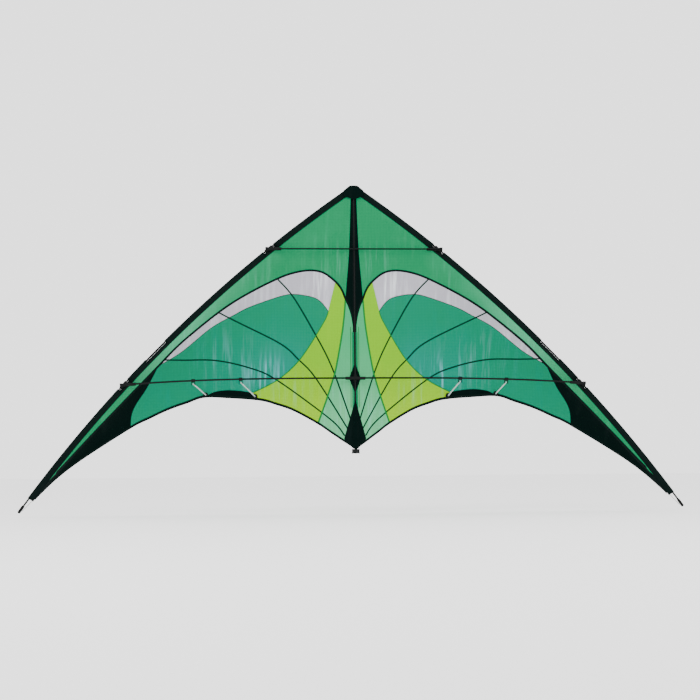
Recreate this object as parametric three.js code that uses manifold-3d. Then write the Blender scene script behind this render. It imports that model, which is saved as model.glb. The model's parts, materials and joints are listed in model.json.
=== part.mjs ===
// A two-line delta stunt kite, in millimetres. +X is to the right and +Z to the nose as the flyer sees
// it, and +Y points away from the flyer. The origin is in the plane of the sail, at the centre tee.
// The right wing is modelled and the left one is its mirror image.
import * as THREE from "three";
import { mergeVertices } from "three/addons/utils/BufferGeometryUtils.js";
import Module from "manifold-3d";

const wasm = await Module();
wasm.setup();

const radians = THREE.MathUtils.degToRad;
const point = (x, z) => new THREE.Vector2(x, z);
const at = (x, y, z) => new THREE.Vector3(x, y, z);

// Leading edge: one arc from the nose to the wingtip, described by how steeply it falls
const EDGE_RADIUS = 4660;
const NOSE_Z = 662;
const NOSE_FALL = radians(34.5);
const TIP_FALL = radians(54.1);
const EDGE_TUBE_START_X = 14;
const EDGE_JOINT_X = 678; // where the upper and lower edge tubes meet

// Carbon tubes and fibreglass rods
const TUBE_R = 3;
const TUBE_BORE_R = 2.3;
const FERRULE_R = 1.9;
const FERRULE_LENGTH = 80;
const UPPER_SPREADER_R = 2.5;
const STANDOFF_R = 2.2;
const SPINE_Y = -3.9;
const SPINE_TOP = 640;
const SPINE_BOTTOM = -251;

// Spreaders, which lie in front of the sail
const SPREADER_Y = -11.5;
const UPPER_FITTING_X = 293;
const LOWER_FITTING_X = 787;
const SPREADER_INNER_X = 9.2;

// Sail
const CLOTH = 0.8;
const SEAM_GAP = 0.35; // half of the gap between neighbouring panels
const SAIL_START_X = 6.6;
const SAIL_DEPTH = 125;
const DEEPEST_X = 430;
const TAPER_X = 500;
const HEM = 4.2;
const SLEEVE_INSET = 17; // from the edge tube's centre to the sleeve's inner edge
const SLEEVE_R = 4.8;
const SLEEVE_BORE_R = 3.8;
const SLEEVE_START_X = 20;
const SLEEVE_END_FALL = radians(53.4);
const FITTING_CUTOUT = 46; // bare stretch of the edge tube at each fitting
const JOINT_CUTOUT = 92; // and where its two halves meet

// Fittings
const BORE_GAP = 0.3;
const ARM_R = 6.2;
const CHANNEL_R = 3.6;
const ARM_INNER = 42;
const ARM_OUTER = 12;
const HUB_R = 5.6;

// Stand-offs: the same feet on both wings, and the clips where this kite has them
const FEET = [
  { x: 338, z: -56 },
  { x: 507, z: -50 },
];
const CLIP_X = { left: [391, 552], right: [362, 522] };
const PIVOT_IN_FRONT = 7.5; // stand-off pivot to the middle of the sail
const CLIP_FALL = 10.5; // spreader's centre down to the stand-off's front end
const STANDOFF_FRONT_Y = -7;

const material = (color, roughness, metalness = 0) =>
  new THREE.MeshStandardMaterial({ color, roughness, metalness });
const carbon = material(0x15171a, 0.35);
const vinyl = material(0x101113, 0.6);
const fibreglass = material(0xdfe8e2, 0.45);
const blackCloth = material(0x0c1113, 0.8);
const emerald = material(0x02a877, 0.6);
const laminate = material(0xb9bccb, 0.3);
const teal = material(0x13a795, 0.6);
const lime = material(0xb4d433, 0.6);
const paleGreen = material(0x8fcba0, 0.6);
const cord = material(0x1a1a1a, 0.8);

// ---- Solids ----

// A closed three.js geometry as a manifold-3d solid.
function toSolid(geometry) {
  const bare = new THREE.BufferGeometry();
  bare.setAttribute("position", geometry.getAttribute("position"));
  if (geometry.index) bare.setIndex(geometry.index);
  const merged = mergeVertices(bare, 1e-3);
  return new wasm.Manifold(
    new wasm.Mesh({
      numProp: 3,
      vertProperties: new Float32Array(merged.getAttribute("position").array),
      triVerts: new Uint32Array(merged.index.array),
    }),
  );
}

function toGeometry(solid) {
  const mesh = solid.getMesh();
  const geometry = new THREE.BufferGeometry();
  geometry.setAttribute("position", new THREE.BufferAttribute(mesh.vertProperties, 3));
  geometry.setIndex(new THREE.BufferAttribute(mesh.triVerts, 1));
  geometry.computeVertexNormals();
  return geometry;
}

const join = (...parts) => parts.map(toSolid).reduce((all, next) => all.add(next));
const cut = (solid, ...tools) => tools.map(toSolid).reduce((all, tool) => all.subtract(tool), solid);

function box([x0, x1], [y0, y1], [z0, z1]) {
  const made = new THREE.BoxGeometry(x1 - x0, y1 - y0, z1 - z0);
  return made.translate((x0 + x1) / 2, (y0 + y1) / 2, (z0 + z1) / 2);
}

// A straight bar or tube from one point to another. The first side of its section faces -Y when the
// bar lies along X, which gives an eight-sided bar a flat front.
function bar(from, to, radius, { bore = 0, sides = 16 } = {}) {
  const length = from.distanceTo(to);
  const profile = [point(bore, 0), point(radius, 0), point(radius, length), point(bore, length)];
  if (bore) profile.push(point(bore, 0));
  const made = new THREE.LatheGeometry(profile, sides, Math.PI / sides);
  const along = to.clone().sub(from).normalize();
  made.applyQuaternion(new THREE.Quaternion().setFromUnitVectors(at(0, 1, 0), along));
  return faceOut(made.translate(from.x, from.y, from.z));
}

// Turns the faces of a closed geometry round where they point inwards.
function faceOut(geometry) {
  const place = geometry.getAttribute("position");
  const index = geometry.index.array;
  const corner = (i) => at(place.getX(index[i]), place.getY(index[i]), place.getZ(index[i]));
  let volume = 0;
  for (let i = 0; i < index.length; i += 3)
    volume += corner(i).dot(corner(i + 1).cross(corner(i + 2)));
  if (volume < 0)
    for (let i = 0; i < index.length; i += 3)
      [index[i + 1], index[i + 2]] = [index[i + 2], index[i + 1]];
  return geometry;
}

// A flat outline in the plane of X and Z, extruded along Y between two depths.
function slab(outline, [y0, y1]) {
  const made = new THREE.ExtrudeGeometry(new THREE.Shape(outline), {
    depth: y1 - y0,
    bevelEnabled: false,
  });
  return made.rotateX(Math.PI / 2).translate(0, y1, 0);
}

// Moves an outline's sides inwards by a distance.
function shrink(outline, distance) {
  const turn = THREE.ShapeUtils.area(outline) > 0 ? 1 : -1;
  const inward = (a, b) => point(a.y - b.y, b.x - a.x).normalize().multiplyScalar(turn);
  return outline.map((here, i) => {
    const before = inward(outline.at(i - 1), here);
    const after = inward(here, outline[(i + 1) % outline.length]);
    const middle = before.clone().add(after).normalize();
    return here.clone().addScaledVector(middle, distance / Math.max(0.4, middle.dot(after)));
  });
}

// ---- Leading edge line ----

// A point on the leading edge where it falls at an angle, moved inwards by an inset.
function edgePoint(fall, inset = 0) {
  const r = EDGE_RADIUS - inset;
  return point(
    r * Math.sin(fall) - EDGE_RADIUS * Math.sin(NOSE_FALL),
    NOSE_Z + r * Math.cos(fall) - EDGE_RADIUS * Math.cos(NOSE_FALL),
  );
}

const fallAt = (x, inset = 0) =>
  Math.asin((x + EDGE_RADIUS * Math.sin(NOSE_FALL)) / (EDGE_RADIUS - inset));
const edgeHeight = (x, inset = 0) => edgePoint(fallAt(x, inset), inset).y;

class EdgeArc extends THREE.Curve {
  constructor(from, to) {
    super();
    this.from = from;
    this.to = to;
  }
  getPoint(t) {
    const p = edgePoint(THREE.MathUtils.lerp(this.from, this.to, t));
    return at(p.x, 0, p.y);
  }
}

// A section swept along part of the edge: its first coordinate points to the flyer, its second inwards.
function alongEdge(section, from, to, steps) {
  return new THREE.ExtrudeGeometry(section, {
    steps,
    curveSegments: 6,
    extrudePath: new EdgeArc(from, to),
  });
}

function roundSection(radius, bore = 0) {
  const section = new THREE.Shape().absarc(0, 0, radius, 0, 2 * Math.PI);
  if (bore) section.holes.push(new THREE.Path().absarc(0, 0, bore, 0, 2 * Math.PI, true));
  return section;
}

// ---- Sail surface ----

const trailingLine = new THREE.SplineCurve([
  point(0, -243),
  point(39, -217),
  point(84, -185),
  point(125, -155.5),
  point(204, -110),
  point(262, -88),
  point(323, -71),
  point(430, -62),
  point(512, -60),
  point(572, -80),
  point(635, -102.5),
  point(700, -133),
  point(764, -165.5),
  point(923, -268),
  point(1013, -337),
  point(1088, -411),
]).getPoints(260);

// Height of a line of points at a distance from the spine.
function heightAt(line, x) {
  const i = Math.min(Math.max(line.findIndex((p) => p.x >= x), 1), line.length - 1);
  const [a, b] = [line[i - 1], line[i]];
  return THREE.MathUtils.mapLinear(x, a.x, b.x, a.y, b.y);
}

// How far the sail stands behind the flat frame. Along each chord it follows a quarter of a sine
// wave from the sleeve to the trailing edge. The trailing edge itself is deepest between the stand-offs.
function sailDepth(x, z) {
  const out = THREE.MathUtils.clamp((x - SAIL_START_X) / (DEEPEST_X - SAIL_START_X), 0, 1);
  const rise = Math.sin((Math.PI / 2) * out);
  const tipX = edgePoint(TIP_FALL).x;
  const taper = 1 - Math.max(0, (x - TAPER_X) / (tipX - TAPER_X)) ** 1.3;
  const top = edgeHeight(x, SLEEVE_INSET);
  const chord = Math.max(20, top - heightAt(trailingLine, x));
  const share = THREE.MathUtils.clamp((top - z) / chord, 0, 1);
  return SAIL_DEPTH * rise * taper * Math.sin((Math.PI / 2) * share);
}

// A cloth sheet on the sail's surface between two heights, lifted off it along Y.
function sheet([x0, x1], low, high, columns, rows, lift = 0) {
  const made = new THREE.BoxGeometry(1, 1, 1, columns, 1, rows);
  const place = made.getAttribute("position");
  for (let i = 0; i < place.count; i++) {
    const x = THREE.MathUtils.lerp(x0, x1, place.getX(i) + 0.5);
    const z = THREE.MathUtils.lerp(low(x), high(x), place.getZ(i) + 0.5);
    place.setXYZ(i, x, sailDepth(Math.abs(x), z) + lift + place.getY(i) * CLOTH, z);
  }
  return made;
}

// The hem along the trailing edge, and the rest of the wing's sail above it as one sheet.
const hemColumns = 22;
const hemReach = [SAIL_START_X, 1080];
const sleeveSide = (x) => edgeHeight(x, SLEEVE_INSET) - 1.5 * SEAM_GAP;
const hemTop = (x) => Math.min(heightAt(trailingLine, x) + HEM, sleeveSide(x));
const trailingHem = () =>
  sheet(hemReach, (x) => heightAt(trailingLine, x), hemTop, hemColumns, 1);

function sailAboveHem() {
  const below = [point(1080, -700), point(0, -700)];
  for (let i = 0; i <= hemColumns; i++) {
    const x = THREE.MathUtils.lerp(...hemReach, i / hemColumns);
    below.push(point(x, hemTop(x) + 2 * SEAM_GAP));
  }
  const whole = sheet([SAIL_START_X, 1066], (x) => heightAt(trailingLine, x) - 9, sleeveSide, 22, 10);
  return cut(toSolid(whole), slab(below, [-60, 200]));
}

const wingSheet = sailAboveHem();

// ---- Seams of the right wing, from the spine outwards or from the top down ----

const smooth = (points, count) => new THREE.SplineCurve(points).getPoints(count);
const wedgeSide = [point(9, 640), point(16.5, 442), point(27.5, 303), point(30, 272)];
const wedgeFoot = point(0, 173);
const eyeInner = smooth(
  [point(30, 272), point(39, 297), point(50, 317), point(63.5, 333)],
  4,
);
const eyeCrown = smooth(
  [point(63.5, 333), point(101, 362), point(143, 372), point(198, 366), point(262, 344),
   point(370, 289), point(464, 228), point(590, 125), point(669, 45)],
  22,
);
const eyeTail = smooth(
  [point(669, 45), point(797, -87), point(900, -197), point(1000, -307), point(1060, -376)],
  8,
);
const crescentFoot = smooth(
  [point(88, 232), point(111, 262), point(139, 280), point(197, 291), point(247, 286),
   point(353, 250), point(412, 220), point(491, 175), point(589, 95), point(669, 45)],
  22,
);
const limeTop = [point(63.5, 333), point(78, 274), point(88, 232)];
const limeSide = smooth(
  [point(88, 232), point(104, 193), point(181, 72), point(256, 2), point(345, -44)],
  9,
);
const paleSide = smooth(
  [point(30, 272), point(39.5, 173), point(62, 41), point(76.5, -13), point(98, -80),
   point(126, -158)],
  9,
);
const scuffTop = smooth(
  [point(345, -44), point(386, -37), point(433, -34), point(477, -40), point(500, -51),
   point(512, -64)],
  8,
);
const tipSide = smooth(
  [point(669, 45), point(708, -28), point(746, -85), point(761, -122), point(765, -175)],
  7,
);

const back = (line) => [...line].reverse();
const outlines = {
  centre_wedge: [point(0, 700), point(9, 700), ...wedgeSide, wedgeFoot],
  leading_panel: [point(9, 700), ...wedgeSide, ...eyeInner, ...eyeCrown, ...eyeTail, point(1150, 700)],
  silver_crescent: [...eyeCrown, ...back(crescentFoot), ...back(limeTop)],
  teal_panel: [...crescentFoot, ...tipSide, point(765, -400), point(512, -400), ...back(scuffTop),
    ...back(limeSide)],
  lime_panel: [...eyeInner, ...limeTop, ...limeSide, point(323, -66), point(323, -400),
    point(124, -400), ...back(paleSide)],
  pale_panel: [wedgeFoot, ...paleSide, point(124, -400), point(0, -400)],
  scuff_patch: [point(323, -66), ...scuffTop, point(512, -400), point(323, -400)],
  tip_panel: [...eyeTail, point(1150, -376), point(1150, -600), point(765, -600), ...back(tipSide)],
};
const panelMaterials = {
  centre_wedge: blackCloth,
  leading_panel: emerald,
  silver_crescent: laminate,
  teal_panel: teal,
  lime_panel: lime,
  pale_panel: paleGreen,
  scuff_patch: blackCloth,
  tip_panel: blackCloth,
};

const distinct = (outline) =>
  outline.filter((p, i) => p.distanceTo(outline.at(i - 1)) > 0.01);

function panel(outline) {
  const column = slab(shrink(distinct(outline), SEAM_GAP), [-60, 200]);
  return toGeometry(wingSheet.intersect(toSolid(column)));
}

// Half of the diamond patch on the front of the sail behind the tee.
function diamondHalf() {
  const [halfWidth, halfHeight] = [18.5, 52.7];
  const cloth = sheet([SAIL_START_X, halfWidth], () => -halfHeight, () => halfHeight, 3, 8, -1.4);
  const outline = [point(0, halfHeight), point(halfWidth, 0), point(0, -halfHeight)];
  return toGeometry(toSolid(cloth).intersect(toSolid(slab(outline, [-60, 60]))));
}

// ---- Leading edge parts ----

// A block in the plane of the edge, centred where the edge passes a distance from the spine.
function atEdge(geometry, x) {
  const centre = edgePoint(fallAt(x));
  return geometry.rotateY(fallAt(x)).translate(centre.x, 0, centre.y);
}

// The sleeve wraps the tube and ends inwards in a flat double flange that the panels are sewn to.
function sleeve() {
  const outline = [point(-0.6, SLEEVE_INSET), point(-0.6, SLEEVE_R - 0.1)];
  const corners = 9;
  for (let i = 1; i < corners; i++) {
    const angle = Math.PI / 2 + (2 * Math.PI * i) / corners;
    outline.push(point(SLEEVE_R * Math.cos(angle), SLEEVE_R * Math.sin(angle)));
  }
  outline.push(point(0.6, SLEEVE_R - 0.1), point(0.6, SLEEVE_INSET));
  const section = new THREE.Shape(outline);
  section.holes.push(new THREE.Path().absarc(0, 0, SLEEVE_BORE_R, 0, 2 * Math.PI, true));
  const whole = toSolid(
    new THREE.ExtrudeGeometry(section, {
      steps: 20,
      curveSegments: 4,
      extrudePath: new EdgeArc(fallAt(SLEEVE_START_X), SLEEVE_END_FALL),
    }),
  );
  const bare = (x, length) => atEdge(box([-length / 2, length / 2], [-9, 9], [-6, 9]), x);
  return toGeometry(
    cut(
      whole,
      bare(UPPER_FITTING_X, FITTING_CUTOUT),
      bare(EDGE_JOINT_X, JOINT_CUTOUT),
      bare(LOWER_FITTING_X, FITTING_CUTOUT),
    ),
  );
}

const edgeStart = fallAt(EDGE_TUBE_START_X);
const edgeJoint = fallAt(EDGE_JOINT_X);
const edgeEnd = TIP_FALL - 4 / EDGE_RADIUS;

function upperEdgeTube() {
  return alongEdge(roundSection(TUBE_R, TUBE_BORE_R), edgeStart, edgeJoint, 10);
}

function lowerEdgeTube() {
  const start = edgeJoint + SEAM_GAP / EDGE_RADIUS;
  return alongEdge(roundSection(TUBE_R, TUBE_BORE_R), start, edgeEnd, 9);
}

function ferrule() {
  const half = FERRULE_LENGTH / 2 / EDGE_RADIUS;
  return alongEdge(roundSection(FERRULE_R), edgeJoint - half, edgeJoint + half, 2);
}

// A cap on the end of the edge tube, with a slot across its tip for the tension cord.
function nock() {
  const [length, r, bore, depth] = [30, 5, TUBE_R + BORE_GAP, 24];
  const profile = [
    point(0, depth), point(bore, depth), point(bore, 0), point(r - 1, 0), point(r, 4),
    point(r, length - 3), point(r - 2, length), point(0, length),
  ];
  const cap = toSolid(faceOut(new THREE.LatheGeometry(profile, 14)));
  const notched = cut(cap, box([-9, 9], [length - 4, length + 1], [-1.1, 1.1]));
  const along = at(Math.cos(edgeEnd), 0, -Math.sin(edgeEnd));
  const made = toGeometry(notched);
  made.applyQuaternion(new THREE.Quaternion().setFromUnitVectors(at(0, 1, 0), along));
  const end = edgePoint(edgeEnd + 0.5 / EDGE_RADIUS);
  return made.translate(end.x - along.x * depth, 0, end.y - along.z * depth);
}

// The cord that pulls the end of the sail to the nock.
function tensionCord() {
  const sailEnd = edgePoint(SLEEVE_END_FALL + 2 / EDGE_RADIUS, 13);
  const nockSide = edgePoint(TIP_FALL - 10 / EDGE_RADIUS, 6.6);
  return bar(at(sailEnd.x, 0, sailEnd.y), at(nockSide.x, 0, nockSide.y), 1, { sides: 8 });
}

// ---- Fittings and spreaders ----

// The lower spreaders are level at the tee and bow down to their fittings.
const spreaderFall = -edgeHeight(LOWER_FITTING_X);
const spreaderHeight = (x) => -spreaderFall * (x / LOWER_FITTING_X) ** 3;
const spreaderSlope = (x) => (-3 * spreaderFall * x ** 2) / LOWER_FITTING_X ** 3;

// A moulded fitting round the edge tube. Its arm is a channel, open on top, that the spreader's end
// lies in. open_front also takes the front wall away.
function edgeFitting(x, armTilt, openFront) {
  const tube = fallAt(x);
  const along = at(Math.cos(tube), 0, -Math.sin(tube));
  const end = (length) => along.clone().multiplyScalar(length);
  const arm = bar(at(-ARM_INNER, SPREADER_Y, 0), at(ARM_OUTER, SPREADER_Y, 0), ARM_R, { sides: 8 });
  const web = box([-8, 8], [SPREADER_Y, -4], [-5, 5]);
  const front = openFront ? -30 : SPREADER_Y - CHANNEL_R;
  const channel = box([-ARM_INNER - 5, 3], [front, SPREADER_Y + CHANNEL_R], [-CHANNEL_R, 20]);
  const hub = bar(end(-15), end(15), HUB_R, { sides: 12 });
  const solid = join(hub, arm.rotateY(armTilt), web);
  const bore = bar(end(-30), end(30), TUBE_R + BORE_GAP, { sides: 12 });
  return toGeometry(cut(solid, bore, channel.rotateY(armTilt)));
}

// The tee clips round the spine from the front. Each arm has a front wall and a floor, so that a
// spreader's end can lift out of it, or leave it to the back as its wing folds.
function centreTee() {
  const hub = bar(at(0, SPINE_Y, -12), at(0, SPINE_Y, 12), 5.8);
  const arms = bar(at(-34, SPREADER_Y, 0), at(34, SPREADER_Y, 0), ARM_R, { sides: 8 });
  const web = box([-8.5, 8.5], [SPREADER_Y - 2.5, SPINE_Y - 1], [-5.5, 5.5]);
  const bore = bar(at(0, SPINE_Y, -20), at(0, SPINE_Y, 20), TUBE_R + BORE_GAP);
  const mouth = box([-9, 9], [-0.8, 9], [-20, 20]);
  const open = (x0, x1) => box([x0, x1], [SPREADER_Y - CHANNEL_R, 0], [-CHANNEL_R, 20]);
  return toGeometry(cut(join(hub, arms, web), bore, mouth, open(8.7, 40), open(-40, -8.7)));
}

class LowerSpreaderLine extends THREE.Curve {
  getPoint(t) {
    const x = THREE.MathUtils.lerp(SPREADER_INNER_X, LOWER_FITTING_X, t);
    return at(x, SPREADER_Y, spreaderHeight(x));
  }
}

function lowerSpreader() {
  return new THREE.ExtrudeGeometry(roundSection(TUBE_R, TUBE_BORE_R), {
    steps: 8,
    curveSegments: 6,
    extrudePath: new LowerSpreaderLine(),
  });
}

// A ring on the lower spreader with a fork that drops over the stand-off's front end.
function spreaderClip(x) {
  const ring = bar(at(-6, SPREADER_Y, 0), at(6, SPREADER_Y, 0), 5.6, { sides: 12 });
  const fork = box([-6.4, 6.4], [-9.4, -3.4], [-15, -3]);
  const bore = bar(at(-9, SPREADER_Y, 0), at(9, SPREADER_Y, 0), TUBE_R + BORE_GAP, { sides: 12 });
  const slot = box([-4.3, 4.3], [-20, 10], [-20, -6]);
  const made = toGeometry(cut(join(ring, fork), bore, slot));
  return made.rotateY(-Math.atan(spreaderSlope(x))).translate(x, 0, spreaderHeight(x));
}

const pivotOf = ({ x, z }) => at(x, sailDepth(x, z) - PIVOT_IN_FRONT, z);

function standoff(foot, clipX) {
  const pivot = pivotOf(foot);
  const front = at(clipX, STANDOFF_FRONT_Y, spreaderHeight(clipX) - CLIP_FALL);
  const past = pivot.clone().sub(front).normalize();
  return bar(front, pivot.clone().addScaledVector(past, 2.2), STANDOFF_R, { sides: 10 });
}

// A button on the front of the sail, with two ears that the stand-off's end turns between.
function standoffFoot(foot) {
  const { x, z } = foot;
  const step = 2;
  const normal = at(
    sailDepth(x - step, z) - sailDepth(x + step, z),
    2 * step,
    sailDepth(x, z - step) - sailDepth(x, z + step),
  ).normalize();
  const button = bar(at(0, 4, 0), at(0, 5.8, 0), 8.5);
  const ear = (x0, x1) => box([x0, x1], [-2.6, 5], [-3.2, 3.2]);
  const made = toGeometry(join(button, ear(4.4, 6.2), ear(-6.2, -4.4)));
  made.applyQuaternion(new THREE.Quaternion().setFromUnitVectors(at(0, 1, 0), normal));
  const pivot = pivotOf(foot);
  return made.translate(pivot.x, pivot.y, pivot.z);
}

// ---- Middle of the kite ----

// The strip between the wings, behind the spine.
const centreTape = () => box([-6.2, 6.2], [-CLOTH / 2, CLOTH / 2], [-236, 612]);

// A dart-shaped patch that holds the lower end of the spine to the front of the sail.
function tailPatch() {
  const [ridge, wing, reach] = [point(3.4, -8), point(10, -1.2), point(44, 14)];
  const front = [wing, ridge].map((p) => point(p.x, p.y - CLOTH));
  const half = [reach, point(reach.x, reach.y - CLOTH), ...front];
  const mirrored = (line) => back(line).map((p) => point(-p.x, p.y));
  const section = [...half, ...mirrored(half), ...mirrored([ridge, wing]), ridge, wing];
  const fold = new THREE.ExtrudeGeometry(new THREE.Shape(section), { depth: 200, bevelEnabled: false });
  const right = [point(2, -79), point(39, -203), point(10, -237)];
  const dart = slab([...right, ...mirrored(right)], [-40, 40]);
  return toGeometry(toSolid(fold.translate(0, 0, -260)).intersect(toSolid(dart)));
}

// A hood over the nose, open at the back so that the leading edges can swing out of it.
function noseCover() {
  const reach = 34;
  const flat = 14;
  const rim = 1.2;
  const outer = (x, out) => point(x, edgeHeight(Math.abs(x), -SLEEVE_R - 1 - out));
  const side = (out) => [outer(reach, out), outer(flat, out), outer(-flat, out), outer(-reach, out)];
  const front = slab([point(-32, 626), point(0, 614), point(32, 626), ...side(rim)], [-8.6, -7.4]);
  const lip = slab([...side(rim), ...back(side(0))], [-8.5, 5.4]);
  return toGeometry(join(front, lip));
}

function spineCap() {
  const profile = [
    point(0, 11), point(TUBE_R + BORE_GAP, 11), point(TUBE_R + BORE_GAP, 0), point(4.3, 0),
    point(4.3, 12), point(3.2, 14), point(0, 14),
  ];
  const made = faceOut(new THREE.LatheGeometry(profile, 14));
  return made.rotateX(-Math.PI / 2).translate(0, SPINE_Y, -240);
}

// Webbing folded under the end of the spine.
function tailLoop() {
  const [front, rear, thick, top, bottom] = [-10.4, 2.6, 1.6, -242, -259];
  const inner = box([-20, 20], [front + thick, rear - thick], [bottom + thick, top + 5]);
  return toGeometry(cut(toSolid(box([-12.5, 12.5], [front, rear], [bottom, top])), inner));
}

// ---- Assembly ----

const kite = new THREE.Group();
kite.name = "stunt_kite";

function add(group, name, geometry, finish) {
  const mesh = new THREE.Mesh(geometry, finish);
  mesh.name = name;
  group.add(mesh);
  return mesh;
}

// A fitting's mesh stands at its place on the leading edge.
function addFitting(group, name, x, z, armTilt, openFront) {
  add(group, name, edgeFitting(x, armTilt, openFront), vinyl).position.set(x, 0, z);
}

function addWing(side) {
  const wing = new THREE.Group();
  if (side === "left") wing.scale.x = -1;
  for (const [name, outline] of Object.entries(outlines))
    add(wing, `${side}_${name}`, panel(outline), panelMaterials[name]);
  add(wing, `${side}_tee_patch`, diamondHalf(), blackCloth);
  add(wing, `${side}_trailing_hem`, trailingHem(), blackCloth);
  add(wing, `${side}_edge_sleeve`, sleeve(), blackCloth);
  add(wing, `${side}_upper_edge_tube`, upperEdgeTube(), carbon);
  add(wing, `${side}_lower_edge_tube`, lowerEdgeTube(), carbon);
  add(wing, `${side}_edge_ferrule`, ferrule(), carbon);
  add(wing, `${side}_nock`, nock(), vinyl);
  add(wing, `${side}_tension_cord`, tensionCord(), cord);
  const openFront = side === "right";
  addFitting(wing, `${side}_upper_fitting`, UPPER_FITTING_X, edgeHeight(UPPER_FITTING_X), 0, openFront);
  const tilt = -Math.atan(spreaderSlope(LOWER_FITTING_X));
  addFitting(wing, `${side}_lower_fitting`, LOWER_FITTING_X, edgeHeight(LOWER_FITTING_X), tilt, false);
  add(wing, `${side}_lower_spreader`, lowerSpreader(), carbon);
  FEET.forEach((foot, i) => {
    const which = `${side}_${["inner", "outer"][i]}`;
    add(wing, `${which}_standoff_foot`, standoffFoot(foot), vinyl);
    add(wing, `${which}_standoff`, standoff(foot, CLIP_X[side][i]), fibreglass);
    add(wing, `${which}_clip`, spreaderClip(CLIP_X[side][i]), vinyl);
  });
  kite.add(wing);
}

addWing("left");
addWing("right");
const spineEnd = (z) => at(0, SPINE_Y, z);
add(kite, "spine", bar(spineEnd(SPINE_BOTTOM), spineEnd(SPINE_TOP), TUBE_R, { bore: TUBE_BORE_R }), carbon);
add(kite, "spine_cap", spineCap(), vinyl);
add(kite, "centre_tee", centreTee(), vinyl);
const spreaderEnd = (x) => at(x, SPREADER_Y, edgeHeight(UPPER_FITTING_X));
const upperReach = UPPER_FITTING_X - 1;
add(kite, "upper_spreader", bar(spreaderEnd(-upperReach), spreaderEnd(upperReach), UPPER_SPREADER_R), carbon);
add(kite, "centre_tape", centreTape(), paleGreen);
add(kite, "tail_patch", tailPatch(), blackCloth);
add(kite, "nose_cover", noseCover(), blackCloth);
add(kite, "tail_loop", tailLoop(), blackCloth);

export default kite;
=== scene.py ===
"""A two-line delta stunt kite: cloth, seams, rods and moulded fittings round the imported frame.

The right wing is worked out and the left one is its mirror image. Flat positions are in millimetres,
as (x, z) in the plane of the frame: x out from the spine, z up to the nose, both from the centre tee.
"""

import json
import math

import bmesh
import bpy
import numpy as np
from mathutils import Matrix, Vector

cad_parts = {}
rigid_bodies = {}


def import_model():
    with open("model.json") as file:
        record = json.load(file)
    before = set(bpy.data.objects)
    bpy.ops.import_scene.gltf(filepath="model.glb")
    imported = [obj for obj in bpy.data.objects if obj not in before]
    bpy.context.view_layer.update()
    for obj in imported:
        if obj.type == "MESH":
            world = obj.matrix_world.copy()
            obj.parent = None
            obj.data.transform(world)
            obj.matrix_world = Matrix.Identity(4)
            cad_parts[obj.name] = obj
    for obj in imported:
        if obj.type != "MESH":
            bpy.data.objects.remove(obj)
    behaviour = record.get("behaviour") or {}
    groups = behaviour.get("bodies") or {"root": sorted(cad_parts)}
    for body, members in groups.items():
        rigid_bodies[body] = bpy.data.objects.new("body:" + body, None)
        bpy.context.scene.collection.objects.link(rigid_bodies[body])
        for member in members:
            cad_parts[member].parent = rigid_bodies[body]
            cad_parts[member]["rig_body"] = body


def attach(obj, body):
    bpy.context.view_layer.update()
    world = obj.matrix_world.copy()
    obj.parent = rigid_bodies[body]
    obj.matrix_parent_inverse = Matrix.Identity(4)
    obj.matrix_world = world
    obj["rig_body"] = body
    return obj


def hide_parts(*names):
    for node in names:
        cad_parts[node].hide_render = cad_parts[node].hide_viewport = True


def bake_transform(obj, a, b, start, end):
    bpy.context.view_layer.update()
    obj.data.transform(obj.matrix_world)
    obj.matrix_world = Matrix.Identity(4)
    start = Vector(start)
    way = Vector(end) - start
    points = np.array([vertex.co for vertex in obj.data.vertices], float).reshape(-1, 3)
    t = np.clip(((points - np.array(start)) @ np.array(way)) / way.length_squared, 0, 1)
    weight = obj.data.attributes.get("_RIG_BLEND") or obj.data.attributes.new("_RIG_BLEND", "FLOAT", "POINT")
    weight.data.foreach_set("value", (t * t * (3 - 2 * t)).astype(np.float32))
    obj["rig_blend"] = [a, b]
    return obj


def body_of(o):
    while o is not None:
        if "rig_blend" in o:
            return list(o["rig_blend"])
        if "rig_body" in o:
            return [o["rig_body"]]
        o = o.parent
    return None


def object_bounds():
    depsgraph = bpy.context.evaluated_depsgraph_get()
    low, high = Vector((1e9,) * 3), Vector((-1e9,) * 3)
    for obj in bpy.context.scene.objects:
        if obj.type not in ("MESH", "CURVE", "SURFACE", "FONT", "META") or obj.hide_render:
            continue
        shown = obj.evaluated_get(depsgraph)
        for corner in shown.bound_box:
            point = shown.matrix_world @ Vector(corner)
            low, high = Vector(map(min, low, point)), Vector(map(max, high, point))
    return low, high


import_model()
CAD_BOX = [list(corner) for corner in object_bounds()]

bl_info = {
    "name": "Stunt kite",
    "version": (1, 0, 0),
    "blender": (4, 5, 0),
    "location": "View3D > Sidebar > Kite",
    "description": "Builds the sail, rods and fittings of a delta stunt kite",
    "category": "Object",
}

MM = 0.001
SIDES = {"left": -1, "right": 1}

# Leading edge: one arc, described by how steeply it falls
EDGE_RADIUS = 4660.0
NOSE_Z = 662.0
NOSE_FALL = math.radians(34.5)
TIP_FALL = math.radians(54.1)
SLEEVE_END_FALL = math.radians(53.4)
SLEEVE_INSET = 17.0
UPPER_FITTING_X, EDGE_JOINT_X, LOWER_FITTING_X = 293.0, 678.0, 787.0
CUTOUTS = ((UPPER_FITTING_X, 46.0), (EDGE_JOINT_X, 92.0), (LOWER_FITTING_X, 46.0))

SAIL_START_X, DEEPEST_X, TAPER_X = 6.6, 430.0, 500.0
SPREADER_Y = -11.5
SPINE_Y = -3.9
FOLD_REACH = 0.024  # cloth within this distance of the spine bends as a wing folds
FEET = ((338.0, -56.0), (507.0, -50.0))
CLIP_X = {"left": (391.0, 552.0), "right": (362.0, 522.0)}


# ---- Settings ----


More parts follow.
